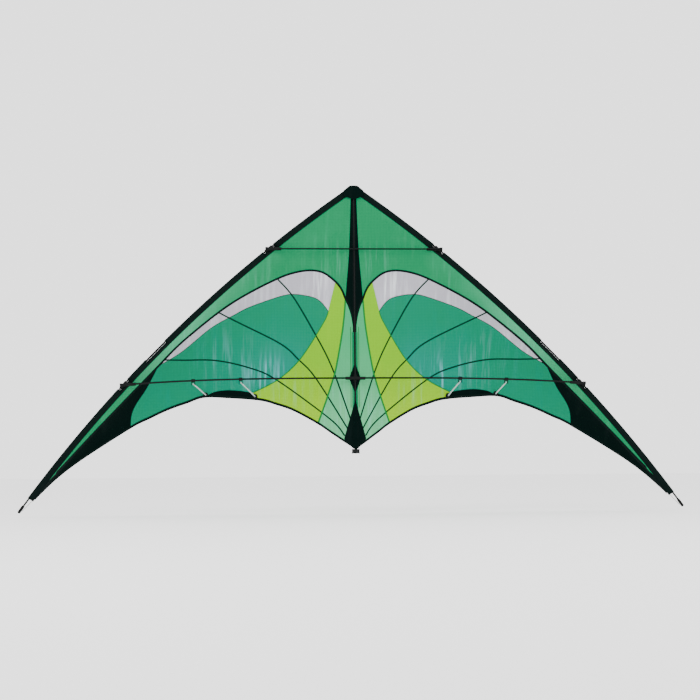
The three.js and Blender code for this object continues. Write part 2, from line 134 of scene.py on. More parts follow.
class KiteSail(bpy.types.PropertyGroup):
    """Sizes of the sail that a maker would change."""

    depth: bpy.props.FloatProperty(
        name="Depth", description="How far the sail billows behind the frame",
        default=0.125, unit="LENGTH")
    cloth: bpy.props.FloatProperty(
        name="Cloth", description="Thickness of the sail cloth with its coating",
        default=0.0003, unit="LENGTH")
    hem: bpy.props.FloatProperty(
        name="Hem", description="Width of the binding along the trailing edge",
        default=0.0092, unit="LENGTH")
    binding: bpy.props.FloatProperty(
        name="Eye binding", description="Width of the black tape round the eye",
        default=0.0068, unit="LENGTH")
    seam: bpy.props.FloatProperty(
        name="Seam", description="Width of the sewn seams that fan out from the tail",
        default=0.0052, unit="LENGTH")


def colour_setting(name, description, default):
    return bpy.props.FloatVectorProperty(
        name=name, description=description, default=default, subtype="COLOR", min=0, max=1)


class KiteColours(bpy.types.PropertyGroup):
    """Dyes of the cloth, as linear colours, with the brighter shades that paint light and reflections onto
    it.
    """

    emerald: colour_setting("Emerald", "Leading panel", (0.0, 0.168, 0.06))
    emerald_pale: colour_setting("Pale emerald", "Leading panel where light shines through",
                                 (0.04, 0.31, 0.15))
    teal: colour_setting("Teal", "Eye of the wing", (0.0, 0.158, 0.077))
    # Painted light: the eye drawn brighter beside the lime panel.
    teal_lit: colour_setting("Bright teal", "Eye beside the lime panel", (0.0, 0.172, 0.115))
    lime: colour_setting("Lime", "Lime panel", (0.145, 0.37, 0.0))
    # Painted light: the lime panel drawn brighter at its foot.
    lime_lit: colour_setting("Bright lime", "Foot of the lime panel", (0.2, 0.41, 0.0))
    pale: colour_setting("Pale green", "Panel beside the spine", (0.022, 0.29, 0.11))
    # Painted light: the pale green panel drawn brighter at its foot.
    pale_lit: colour_setting("Bright pale green", "Foot of that panel", (0.085, 0.37, 0.165))
    silver: colour_setting("Silver", "Laminate crescent", (0.31, 0.3, 0.345))
    # Painted reflections: bright streaks drawn over the laminate.
    silver_reflection: colour_setting("Bright silver", "Streaks in the laminate", (0.62, 0.63, 0.68))
    black: colour_setting("Black", "Patches, sleeves and bindings", (0.0, 0.0035, 0.0028))
    seam_green: colour_setting("Seam green", "Doubled cloth along a seam", (0.001, 0.15, 0.018))
    seam_dark: colour_setting("Dark seam", "Seams that fan out from the tail", (0.0, 0.014, 0.007))


class KiteStage(bpy.types.PropertyGroup):
    """The studio round the kite."""

    floor: colour_setting("Floor", "Colour of the floor", (0.92, 0.92, 0.92))
    world: bpy.props.FloatProperty(
        name="World light", description="Strength of the light from all round", default=2.25)
    key: bpy.props.FloatProperty(
        name="Key light", description="Power of the large lamp in front", default=110.0, unit="POWER")
    azimuth: bpy.props.FloatProperty(
        name="Azimuth", description="How far round the kite the camera stands",
        default=math.radians(-5.5), subtype="ANGLE")
    elevation: bpy.props.FloatProperty(
        name="Elevation", description="How far the camera stands above the kite's middle",
        default=math.radians(-3.6), subtype="ANGLE")
    roll: bpy.props.FloatProperty(
        name="Roll", description="Tilt of the camera about its own axis",
        default=math.radians(-0.5), subtype="ANGLE")
    distance: bpy.props.FloatProperty(
        name="Distance", description="From the camera to the kite", default=6.52, unit="LENGTH")
    lens: bpy.props.FloatProperty(
        name="Lens", description="Focal length in millimetres", default=98.0)


# ---- Lines and the sail's surface, in millimetres ----


def edge_point(fall, inset=0.0):
    """Point of the leading edge arc that falls at an angle: a circle of the edge's radius less the
    inset, about a centre that puts its top at the nose."""
    r = EDGE_RADIUS - inset
    x = r * np.sin(fall) - EDGE_RADIUS * math.sin(NOSE_FALL)
    z = NOSE_Z + r * np.cos(fall) - EDGE_RADIUS * math.cos(NOSE_FALL)
    return np.stack([x, z], -1)


def fall_at(x, inset=0.0):
    """How steeply the edge falls where it is x from the spine: the inverse of edge_point."""
    return np.arcsin((x + EDGE_RADIUS * math.sin(NOSE_FALL)) / (EDGE_RADIUS - inset))


def edge_height(x, inset=0.0):
    """Height of the edge, or of a line inset from it, at x from the spine."""
    return edge_point(fall_at(x, inset), inset)[..., 1]


def smooth(points, count):
    """Curve through points: between two of them, the cubic whose slope at each is half of the step
    from its neighbour before to its neighbour after."""
    p = np.asarray(points, float)
    t = np.linspace(0, len(p) - 1, count)
    i = np.minimum(t.astype(int), len(p) - 2)
    w = (t - i)[:, None]
    a, b = p[i], p[i + 1]
    va = (b - p[np.maximum(i - 1, 0)]) / 2
    vb = (p[np.minimum(i + 2, len(p) - 1)] - a) / 2
    return (2 * a - 2 * b + va + vb) * w**3 + (3 * b - 3 * a - 2 * va - vb) * w**2 + va * w + a


def even(line, count):
    """The same line with points at equal steps of its length."""
    p = np.asarray(line, float)
    length = np.concatenate([[0], np.cumsum(np.linalg.norm(np.diff(p, axis=0), axis=1))])
    keep = np.concatenate([[True], np.diff(length) > 1e-9])
    at = np.linspace(0, length[-1], count)
    return np.stack([np.interp(at, length[keep], p[keep, k]) for k in range(p.shape[1])], -1)


TRAILING = smooth(
    [(0, -243), (39, -217), (84, -185), (125, -155.5), (204, -110), (262, -88), (323, -71), (430, -62),
     (512, -60), (572, -80), (635, -102.5), (700, -133), (764, -165.5), (923, -268), (1013, -337),
     (1088, -411)], 800)


def trailing_height(x):
    """Height of the trailing edge at x, between the points of its curve."""
    return np.interp(x, TRAILING[:, 0], TRAILING[:, 1])


def sail_depth(x, z):
    """How far the sail stands behind the frame. Out from the spine it rises as a quarter of a sine
    wave, and past the stand-offs it falls away to the tip as a power of the distance. Down each
    chord it follows another quarter wave, from the sleeve to the trailing edge."""
    x, z = np.broadcast_arrays(np.asarray(x, float), np.asarray(z, float))
    out = np.clip((x - SAIL_START_X) / (DEEPEST_X - SAIL_START_X), 0, 1)
    tip_x = edge_point(TIP_FALL)[0]
    taper = 1 - np.clip((x - TAPER_X) / (tip_x - TAPER_X), 0, 1) ** 1.3
    inner = np.clip(x, 0, 1075)
    top = edge_height(inner, SLEEVE_INSET)
    chord = np.maximum(20, top - trailing_height(inner))
    share = np.clip((top - z) / chord, 0, 1)
    depth = bpy.context.scene.kite_sail.depth / MM
    return depth * np.sin(math.pi / 2 * out) * taper * np.sin(math.pi / 2 * share)


def on_sail(flat, lift=0.0):
    """Points of the sail's surface above flat ones, moved along Y by a lift."""
    x, z = flat[..., 0], flat[..., 1]
    return np.stack([x, sail_depth(x, z) + lift, z], -1)


def hem_line(x0, x1, above=3.2, count=60):
    """Flat line just above the trailing edge, cut off where it would pass the sleeve."""
    x = np.linspace(x0, x1, count)
    return np.stack([x, np.minimum(trailing_height(x) + above, edge_height(x, SLEEVE_INSET - 2))], -1)


def sleeve_line(x0, x1, inset=13.0, count=120):
    """Flat line along the leading edge, at an inset from the middle of its tube."""
    x = np.linspace(x0, x1, count)
    return np.stack([x, edge_height(x, inset)], -1)


# Seams of a wing, from the spine outwards or from the top down
WEDGE_SIDE = smooth([(9, 640), (16.5, 442), (27.5, 303), (30, 272)], 40)
EYE_INNER = smooth([(30, 272), (39, 297), (50, 317), (63.5, 333)], 20)
EYE_CROWN = smooth([(63.5, 333), (101, 362), (143, 372), (198, 366), (262, 344), (370, 289),
                    (464, 228), (590, 125), (669, 45)], 120)
EYE_TAIL = smooth([(669, 45), (797, -87), (900, -195), (985, -287), (1036, -341)], 60)
WEDGE_FOOT = smooth([(0.3, 158), (3, 180), (7, 207), (12.5, 230), (21, 254), (30, 272)], 40)
CRESCENT_FOOT = smooth([(88, 232), (111, 262), (139, 280), (197, 291), (247, 286), (353, 250),
                        (412, 220), (491, 175), (589, 95), (669, 45)], 120)
LIME_TOP = smooth([(63.5, 333), (78, 274), (88, 232)], 20)
LIME_SIDE = smooth([(88, 232), (104, 193), (181, 72), (256, 2), (345, -44)], 60)
PALE_SIDE = smooth([(30, 272), (39.5, 173), (62, 41), (76.5, -13), (98, -80), (124, -152.9)], 60)
SCUFF_TOP = smooth([(345, -44), (386, -37), (433, -34), (477, -40), (500, -51), (512, -58)], 40)
TIP_SIDE = smooth([(669, 45), (708, -28), (746, -85), (761, -122), (764, -162.3)], 40)
FAN_SEAMS = (
    [(262, 344), (203, 277), (123, 137), (74, 32), (20, -128), (13, -150)],
    [(464, 228), (262, 131), (188, 68), (128, -1), (26, -172)],
    [(650, 66), (588, 67), (474, 68), (358, 43), (262, -1), (84, -138), (36, -196)],
)


def stretch(line_a, line_b):
    """Two lines end to end, their shared point kept once."""
    return np.concatenate([line_a, line_b[1:]])


# ---- Meshes from arrays ----


class Shell:
    """Grids of points gathered into one mesh. Each grid is (along, across, 3) in millimetres, and may
    close across and be capped at its ends. UV is metres along and a share across."""

    def __init__(self):
        self.points, self.faces, self.uv, self.count = [], [], [], 0

    def add(self, grid, closed=False, capped=False):
        n, m = grid.shape[:2]
        i, j = np.meshgrid(np.arange(n - 1), np.arange(m if closed else m - 1), indexing="ij")
        quads = [(i, j), (i + 1, j), (i + 1, j + 1), (i, j + 1)]
        index = np.stack([a * m + b % m for a, b in quads], -1).reshape(-1, 4) + self.count
        middle = grid.mean(axis=1)
        run = np.concatenate([[0], np.cumsum(np.linalg.norm(np.diff(middle, axis=0), axis=1))]) * MM
        share = np.linspace(0, 1, m + 1 if closed else m)
        self.faces += index.tolist()
        self.uv += np.stack([np.stack([run[a], share[b]], -1) for a, b in quads], 2).reshape(-1, 2).tolist()
        if capped:
            for row in (0, n - 1):
                self.faces.append((np.arange(m) + row * m + self.count).tolist())
                self.uv += [[run[row], s] for s in share[:m]]
        self.points.append(grid.reshape(-1, 3))
        self.count += n * m
        return self

    def piece(self, name, side, material, thickness=0.0, attributes=None):
        """The gathered grids as an object on one side of the kite."""
        points = np.concatenate(self.points)
        place = points * (side * MM, MM, MM)
        mesh = bpy.data.meshes.new(name)
        mesh.from_pydata(place.tolist(), [], self.faces)
        layer = mesh.uv_layers.new(name="UVMap")
        layer.data.foreach_set("uv", np.asarray(self.uv, np.float32).ravel())
        for key, values in (attributes or {}).items():
            mesh.attributes.new(key, "FLOAT", "POINT").data.foreach_set(
                "value", np.asarray(values, np.float32).ravel())
        work = bmesh.new()
        work.from_mesh(mesh)
        bmesh.ops.remove_doubles(work, verts=work.verts, dist=2e-6)
        bmesh.ops.recalc_face_normals(work, faces=work.faces)
        work.to_mesh(mesh)
        work.free()
        mesh.shade_smooth()
        mesh.materials.append(material)
        made = bpy.data.objects.new(name, mesh)
        bpy.context.scene.collection.objects.link(made)
        if thickness:
            solid = made.modifiers.new("Cloth", "SOLIDIFY")
            solid.thickness = thickness
            solid.offset = 0
        return made


def ruled(side_a, side_b, columns, rows):
    """Grid between two lines: each column is straight between the same share of each line."""
    a, b = even(side_a, columns), even(side_b, columns)
    v = np.linspace(0, 1, rows)[:, None, None]
    return np.swapaxes(a[None] * (1 - v) + b[None] * v, 0, 1)


def upright(foot, rows):
    """Grid from a line up to the leading edge's sleeve: each column is straight up."""
    head = np.stack([foot[:, 0], edge_height(foot[:, 0], 13.0)], -1)
    v = np.linspace(0, 1, rows)[None, :, None]
    return foot[:, None] * (1 - v) + head[:, None] * v


def coons(left, right, top, bottom, columns, rows):
    """Grid inside four lines: the sum of the two ruled grids, less the grid of their four corners."""
    a, b = even(left, rows), even(right, rows)
    c, d = even(top, columns), even(bottom, columns)
    u, v = np.linspace(0, 1, columns)[:, None, None], np.linspace(0, 1, rows)[None, :, None]
    across = a[None] * (1 - u) + b[None] * u
    down = c[:, None] * (1 - v) + d[:, None] * v
    corners = (c[0] * (1 - u) + c[-1] * u) * (1 - v) + (d[0] * (1 - u) + d[-1] * u) * v
    return across + down - corners


def frames_along(path):
    """Two directions square to a path at each of its points: one in the plane of X and Z, and the
    other square to it and to the path."""
    along = np.gradient(path, axis=0)
    along /= np.linalg.norm(along, axis=1)[:, None]
    first = np.cross(along, np.broadcast_to((0.0, 1.0, 0.0), along.shape))
    first /= np.linalg.norm(first, axis=1)[:, None]
    return first, np.cross(along, first)


def sweep(path, profile):
    """A profile carried square to a path, with its first coordinate across the path in the plane of
    the frame and its second to the flyer."""
    first, second = frames_along(path)
    p = np.asarray(profile, float)
    return (path[:, None] + first[:, None] * p[None, :, :1] + second[:, None] * p[None, :, 1:2])


def ring(radius, sides=24, flat=1.0):
    """Closed section: a circle, or with flat below 1 an ellipse."""
    angle = np.linspace(0, 2 * math.pi, sides, endpoint=False)
    return np.stack([radius * np.cos(angle), radius * flat * np.sin(angle)], -1)


def tube(path, radius, sides=24):
    """A rod: a circle carried along a path, its ends drawn in to a small chamfer."""
    path = np.asarray(path, float)
    grid = sweep(path, ring(radius, sides))
    chamfer = sweep(path, ring(radius - 0.5, sides))
    first, second = frames_along(path)
    along = np.cross(second, first)
    start, end = chamfer[:1] - 0.5 * along[0], chamfer[-1:] + 0.5 * along[-1]
    ahead = path[1] - path[0]
    if np.dot(along[0], ahead) < 0:
        start, end = chamfer[:1] + 0.5 * along[0], chamfer[-1:] - 0.5 * along[-1]
    return np.concatenate([start, grid, end])


def tape(line, width, thickness, count):
    """A flat tape on both faces of the sail: a thin rounded section carried along a flat line."""
    flat = even(line, count)
    along = np.gradient(flat, axis=0)
    along /= np.linalg.norm(along, axis=1)[:, None]
    across = np.stack([-along[:, 1], along[:, 0]], -1)
    half = width / 2
    section = np.array([(-half, -0.4), (-half * 0.86, -1), (0, -1), (half * 0.86, -1), (half, -0.4),
                        (half, 0.4), (half * 0.86, 1), (0, 1), (-half * 0.86, 1), (-half, 0.4)])
    spread = flat[:, None] + across[:, None] * section[None, :, :1]
    return on_sail(spread, section[None, :, 1] * thickness / 2)


# ---- Materials ----


def new_group(name, inputs, outputs):
    """A node group with its sockets: inputs are label, kind and value, outputs are label and kind."""
    group = bpy.data.node_groups.new(name, "ShaderNodeTree")
    for label, kind, value in inputs:
        socket = group.interface.new_socket(name=label, in_out="INPUT", socket_type=kind)
        socket.default_value = value
    for label, kind in outputs:
        group.interface.new_socket(name=label, in_out="OUTPUT", socket_type=kind)
    return group


class Nodes:
    """Short ways to add and join nodes in one tree."""

    def __init__(self, tree):
        self.tree = tree

    def add(self, kind, **settings):
        node = self.tree.nodes.new(kind)
        for key, value in settings.items():
            setattr(node, key, value)
        return node

    def link(self, source, target):
        self.tree.links.new(source, target)

    def put(self, socket, value):
        if isinstance(value, bpy.types.NodeSocket):
            self.link(value, socket)
        else:
            socket.default_value = value

    def math(self, operation, a, b=0.0, c=0.0, clamp=False):
        node = self.add("ShaderNodeMath", operation=operation, use_clamp=clamp)
        for socket, value in zip(node.inputs, (a, b, c)):
            self.put(socket, value)
        return node.outputs[0]

    def mix(self, factor, a, b, blend="MIX"):
        node = self.add("ShaderNodeMix", data_type="RGBA", blend_type=blend)
        self.put(node.inputs["Factor"], factor)
        self.put(node.inputs[6], a)
        self.put(node.inputs[7], b)
        return node.outputs[2]

    def ramp(self, value, low, high, to_low=0.0, to_high=1.0):
        node = self.add("ShaderNodeMapRange", interpolation_type="SMOOTHSTEP")
        for key, v in (("Value", value), ("From Min", low), ("From Max", high),
                       ("To Min", to_low), ("To Max", to_high)):
            self.put(node.inputs[key], v)
        return node.outputs["Result"]

    def noise(self, vector, scale, detail=2.0, rough=0.5):
        node = self.add("ShaderNodeTexNoise")
        self.put(node.inputs["Vector"], vector)
        node.inputs["Scale"].default_value = scale
        node.inputs["Detail"].default_value = detail
        node.inputs["Roughness"].default_value = rough
        return node.outputs["Fac"]

    def mapped(self, vector, scale=(1, 1, 1), turn=(0, 0, 0)):
        node = self.add("ShaderNodeMapping")
        self.put(node.inputs["Vector"], vector)
        node.inputs["Scale"].default_value = scale
        node.inputs["Rotation"].default_value = turn
        return node.outputs["Vector"]

    def threads(self, coordinate, pitch, share):
        """1 on a thread and 0 between threads: the distance to the nearest multiple of the pitch."""
        place = self.math("FRACT", self.math("DIVIDE", coordinate, pitch))
        off = self.math("ABSOLUTE", self.math("SUBTRACT", place, 0.5))
        return self.ramp(off, 0.5 - share, 0.5 - share * 0.35)


def ripstop_group():
    """Ripstop cloth: a square grid of doubled threads, soft folds that run down and out from the nose
    with painted highlights along them, slight clouding of the dye, painted light that mixes in the
    bright shade, and painted glints of reflection in the gleam colour."""
    group = new_group(
        "Ripstop",
        [("Colour", "NodeSocketColor", (0.5, 0.5, 0.5, 1)), ("Bright", "NodeSocketColor", (1, 1, 1, 1)),
         ("Fade", "NodeSocketFloat", 0.0), ("Grid", "NodeSocketFloat", 0.12),
         ("Creases", "NodeSocketFloat", 0.2), ("Roughness", "NodeSocketFloat", 0.55),
         ("Shine", "NodeSocketFloat", 0.0), ("Gleam", "NodeSocketColor", (0.4, 0.6, 0.7, 1))],
        [("Colour", "NodeSocketColor"), ("Roughness", "NodeSocketFloat"), ("Height", "NodeSocketFloat")],
    )
    n = Nodes(group)
    given = n.add("NodeGroupInput").outputs
    out = n.add("NodeGroupOutput").inputs
    place = n.add("ShaderNodeTexCoord").outputs["Object"]
    axes = n.add("ShaderNodeSeparateXYZ")
    n.link(place, axes.inputs[0])
    grid = n.math("MAXIMUM", n.threads(axes.outputs["X"], 0.0052, 0.14),
                  n.threads(axes.outputs["Z"], 0.0052, 0.14))
    cloud = n.noise(place, 9.0, 3.0)
    streaks = n.noise(n.mapped(place, (26, 4, 3.2), (0, math.radians(-14), 0)), 1.0, 4.0, 0.6)
    # Painted highlights: where the folds run, the colour is mixed towards the bright shade.
    crease_highlight = n.ramp(streaks, 0.52, 0.75)
    # Painted light: an attribute over the surface mixes the colour towards the bright shade; the clouding
    # added to it is the dye's own.
    fade = n.math("ADD", given["Fade"], n.math("MULTIPLY", n.math("SUBTRACT", cloud, 0.5), 0.5))
    fade = n.math("ADD", fade, n.math("MULTIPLY", crease_highlight, given["Creases"]), clamp=True)
    colour = n.mix(fade, given["Colour"], given["Bright"])
    # Painted reflections: glints of the gleam colour, as strong as the Shine attribute.
    glint = n.ramp(n.noise(n.mapped(place, (75, 4, 5), (0, math.radians(12), 0)), 1.0, 3.0, 0.6), 0.47, 0.72)
    colour = n.mix(n.math("MULTIPLY", glint, given["Shine"]), colour, given["Gleam"])
    darker = n.mix(1.0, colour, (0.62, 0.62, 0.62, 1), "MULTIPLY")
    n.link(n.mix(n.math("MULTIPLY", grid, given["Grid"]), colour, darker), out["Colour"])
    n.link(n.math("ADD", given["Roughness"], n.math("MULTIPLY", grid, 0.12)), out["Roughness"])
    fold = n.math("MULTIPLY", n.noise(n.mapped(place, (9, 2, 2), (0, math.radians(-20), 0)), 1.0), 6.0)
    n.link(n.math("ADD", n.math("ADD", grid, fold), n.math("MULTIPLY", streaks, 1.5)), out["Height"])
    return group


def stitch_group():
    """Two rows of stitches along a tape: dashes of thread at set distances across it, spaced along
    its length, which is in metres."""
    group = new_group(
        "Stitches",
        [("Colour", "NodeSocketColor", (0, 0, 0, 1)), ("Thread", "NodeSocketColor", (0.1, 0.1, 0.1, 1)),
         ("Pitch", "NodeSocketFloat", 0.003)],
        [("Colour", "NodeSocketColor"), ("Height", "NodeSocketFloat")],
    )
    n = Nodes(group)
    given = n.add("NodeGroupInput").outputs
    out = n.add("NodeGroupOutput").inputs
    uv = n.add("ShaderNodeSeparateXYZ")
    n.link(n.add("ShaderNodeTexCoord").outputs["UV"], uv.inputs[0])
    row = n.threads(n.math("ADD", uv.outputs["Y"], 0.125), 0.25, 0.1)
    dash = n.math("GREATER_THAN", n.math("FRACT", n.math("DIVIDE", uv.outputs["X"], given["Pitch"])), 0.28)
    stitch = n.math("MULTIPLY", row, dash)
    weave = n.threads(uv.outputs["X"], 0.0009, 0.3)
    place = n.add("ShaderNodeTexCoord").outputs["Object"]
    worn = n.math("MULTIPLY", n.noise(place, 60.0, 3.0), 0.35)
    base = n.mix(worn, given["Colour"], given["Thread"])
    n.link(n.mix(stitch, base, given["Thread"]), out["Colour"])
    n.link(n.math("ADD", n.math("MULTIPLY", stitch, 1.0), n.math("MULTIPLY", weave, 0.25)), out["Height"])
    return group


def moulded_group():
    """Moulded rubber or plastic: fine grain, and paler where the surface has rubbed on high spots."""
    group = new_group(
        "Moulded",
        [("Colour", "NodeSocketColor", (0.02, 0.02, 0.02, 1)),
         ("Worn", "NodeSocketColor", (0.1, 0.1, 0.1, 1)),
         ("Scale", "NodeSocketFloat", 900.0)],
        [("Colour", "NodeSocketColor"), ("Roughness", "NodeSocketFloat"), ("Height", "NodeSocketFloat")],
    )
    n = Nodes(group)
    given = n.add("NodeGroupInput").outputs
    out = n.add("NodeGroupOutput").inputs
    place = n.add("ShaderNodeTexCoord").outputs["Object"]
    grain = n.add("ShaderNodeTexNoise")
    n.link(place, grain.inputs["Vector"])
    n.link(given["Scale"], grain.inputs["Scale"])
    rubbed = n.ramp(n.noise(place, 110.0, 4.0, 0.6), 0.55, 0.8)
    n.link(n.mix(n.math("MULTIPLY", rubbed, 0.4), given["Colour"], given["Worn"]), out["Colour"])
    n.link(n.ramp(grain.outputs["Fac"], 0.3, 0.7, 0.5, 0.68), out["Roughness"])
    n.link(grain.outputs["Fac"], out["Height"])
    return group


GROUPS, MATERIALS = {}, {}


def group_named(name):
    """The shared node group of that name, made the first time it is asked for."""
    makers = {"Ripstop": ripstop_group, "Stitches": stitch_group, "Moulded": moulded_group}
    if name not in GROUPS:
        GROUPS[name] = makers[name]()
    return GROUPS[name]


def opaque(colour):
    return (*colour, 1.0)


def start_material(name):
    """A new material, its node helper and its shader."""
    material = bpy.data.materials.new(name)
    material.use_nodes = True
    n = Nodes(material.node_tree)
    shader = material.node_tree.nodes["Principled BSDF"]
    return material, n, shader


def bump(n, shader, height, strength, distance):
    """Joins a height to the shader's Normal."""
    node = n.add("ShaderNodeBump")
    node.inputs["Strength"].default_value = strength
    node.inputs["Distance"].default_value = distance
    n.link(height, node.inputs["Height"])
    n.link(node.outputs["Normal"], shader.inputs["Normal"])


def place_group(n, name, **values):
    node = n.add("ShaderNodeGroup", node_tree=group_named(name))
    for key, value in values.items():
        n.put(node.inputs[key.replace("_", " ")], value)
    return node


def cloth_material(name, colour, bright, grid=0.35, crease_highlights=0.25, roughness=0.6, specular=0.06,
                   gleam=(0.2, 0.5, 0.4), painted_light=True):
    """Woven cloth, which may carry painted light: one attribute over its surface mixes in the bright
    shade as painted light, and another adds painted glints of the gleam colour.
    """
    material, n, shader = start_material(name)
    cloth = place_group(n, "Ripstop", Colour=opaque(colour), Bright=opaque(bright), Grid=grid,
                        Creases=crease_highlights, Roughness=roughness, Gleam=opaque(gleam))
    if painted_light:
        for label in ("Fade", "Shine"):
            spread = n.add("ShaderNodeAttribute", attribute_name=label.lower())
            n.link(spread.outputs["Fac"], cloth.inputs[label])
    n.link(cloth.outputs["Colour"], shader.inputs["Base Color"])
    n.link(cloth.outputs["Roughness"], shader.inputs["Roughness"])
    shader.inputs["Specular IOR Level"].default_value = specular
    bump(n, shader, cloth.outputs["Height"], 0.35, 0.0004)
    return material


def tape_material(name, colour, thread, pitch=0.003):
    """Folded tape with a row of stitches at each pitch along it."""
    material, n, shader = start_material(name)
    sewn = place_group(n, "Stitches", Colour=opaque(colour), Thread=opaque(thread), Pitch=pitch)
    n.link(sewn.outputs["Colour"], shader.inputs["Base Color"])
    shader.inputs["Roughness"].default_value = 0.8
    shader.inputs["Specular IOR Level"].default_value = 0.04
    bump(n, shader, sewn.outputs["Height"], 0.5, 0.0003)
    return material


def moulded_material(name, colour, worn):
    """Rubber or plastic fitting, from the Moulded group."""
    material, n, shader = start_material(name)
    skin = place_group(n, "Moulded", Colour=opaque(colour), Worn=opaque(worn))
    n.link(skin.outputs["Colour"], shader.inputs["Base Color"])
    n.link(skin.outputs["Roughness"], shader.inputs["Roughness"])
    shader.inputs["Specular IOR Level"].default_value = 0.08
    bump(n, shader, skin.outputs["Height"], 0.25, 0.0002)
    return material


def rod_material(name, colour, band, roughness=0.42):
    """A wound rod: faint bands that climb it, from its length and its share round."""
    material, n, shader = start_material(name)
    uv = n.add("ShaderNodeSeparateXYZ")
    n.link(n.add("ShaderNodeTexCoord").outputs["UV"], uv.inputs[0])
    climb = n.math("ADD", n.math("DIVIDE", uv.outputs["X"], 0.009), uv.outputs["Y"])
    counter = n.math("SUBTRACT", n.math("DIVIDE", uv.outputs["X"], 0.009), uv.outputs["Y"])
    wound = n.math("MULTIPLY", n.threads(climb, 0.5, 0.24), n.threads(counter, 0.5, 0.24))
    place = n.add("ShaderNodeTexCoord").outputs["Object"]
    scuffs = n.ramp(n.noise(n.mapped(place, (40, 40, 40)), 1.0, 4.0, 0.65), 0.5, 0.85)
    n.link(n.mix(wound, opaque(colour), opaque(band)), shader.inputs["Base Color"])
    n.link(n.math("ADD", n.math("MULTIPLY", scuffs, 0.3), roughness), shader.inputs["Roughness"])
    shader.inputs["Specular IOR Level"].default_value = 0.08
    return material


def make_materials():
    """All materials, from the colours in the panel."""
    c = bpy.context.scene.kite_colours
    thread = (0.006, 0.012, 0.011)
    MATERIALS.update(
        # Bright shades mix in painted light, and gleam colours are painted reflections.
        emerald=cloth_material("Emerald ripstop", c.emerald, c.emerald_pale),
        teal=cloth_material("Teal ripstop", c.teal, c.teal_lit, gleam=(0.16, 0.42, 0.5)),
        lime=cloth_material("Lime ripstop", c.lime, c.lime_lit),
        pale=cloth_material("Pale green ripstop", c.pale, c.pale_lit),
        silver=cloth_material("Silver laminate", c.silver, c.silver_reflection, 0.3, 0.5, 0.35, 0.4,
                              gleam=(0.66, 0.7, 0.72)),
        black=cloth_material("Black ripstop", c.black, thread, 0.3, 0.2, 0.75, 0.03, painted_light=False),
        sleeve=tape_material("Sleeve cloth", c.black, (0.008, 0.013, 0.012), 0.004),
        binding=tape_material("Black binding", c.black, thread),
        seam_green=tape_material("Green seam", c.seam_green, (0.012, 0.12, 0.035)),
        seam_dark=tape_material("Dark seam", c.seam_dark, (0.004, 0.03, 0.017)),
        rubber=moulded_material("Moulded rubber", (0.003, 0.004, 0.004), (0.014, 0.016, 0.016)),
        webbing=tape_material("Webbing", (0.004, 0.005, 0.005), (0.025, 0.028, 0.028), 0.0022),
        carbon=rod_material("Carbon tube", (0.002, 0.003, 0.003), (0.007, 0.009, 0.009)),
        fibreglass=rod_material("Fibreglass rod", (0.36, 0.44, 0.42), (0.47, 0.55, 0.52)),
        cord=tape_material("Braided cord", (0.3, 0.32, 0.31), (0.12, 0.13, 0.13), 0.001),
    )


# ---- What every piece is told ----


def bend_at_spine(piece, side):
    """The piece bends between the keel and its wing, close to the spine."""
    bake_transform(piece, "keel", f"{side}_wing", start=(0, 0, 0), end=(SIDES[side] * FOLD_REACH, 0, 0))


def run_of(line):
    """Length of a line, in metres."""
    return float(np.linalg.norm(np.diff(line, axis=0), axis=1).sum()) * MM


def softened(node, material, bevel):
    """A copy of a moulded node with its edges rounded over."""
    source = bpy.data.objects[node]
    mesh = source.data.copy()
    mesh.transform(source.matrix_world)
    work = bmesh.new()
    work.from_mesh(mesh)
    bmesh.ops.remove_doubles(work, verts=work.verts, dist=2e-5)
    bmesh.ops.dissolve_limit(work, angle_limit=math.radians(4), verts=work.verts, edges=work.edges)
    bmesh.ops.recalc_face_normals(work, faces=work.faces)
    work.to_mesh(mesh)
    work.free()
    mesh.materials.clear()
    mesh.materials.append(material)
    for polygon in mesh.polygons:
        polygon.use_smooth = True
    name = f"{node}_moulding"
    made = bpy.data.objects.new(name, mesh)
    mesh.name = name
    bpy.context.scene.collection.objects.link(made)
    edge = made.modifiers.new("Rounded edges", "BEVEL")
    edge.width = bevel
    edge.segments = 3
    edge.limit_method = "ANGLE"
    edge.angle_limit = math.radians(35)
    edge.harden_normals = True
    return made


# ---- Operators ----


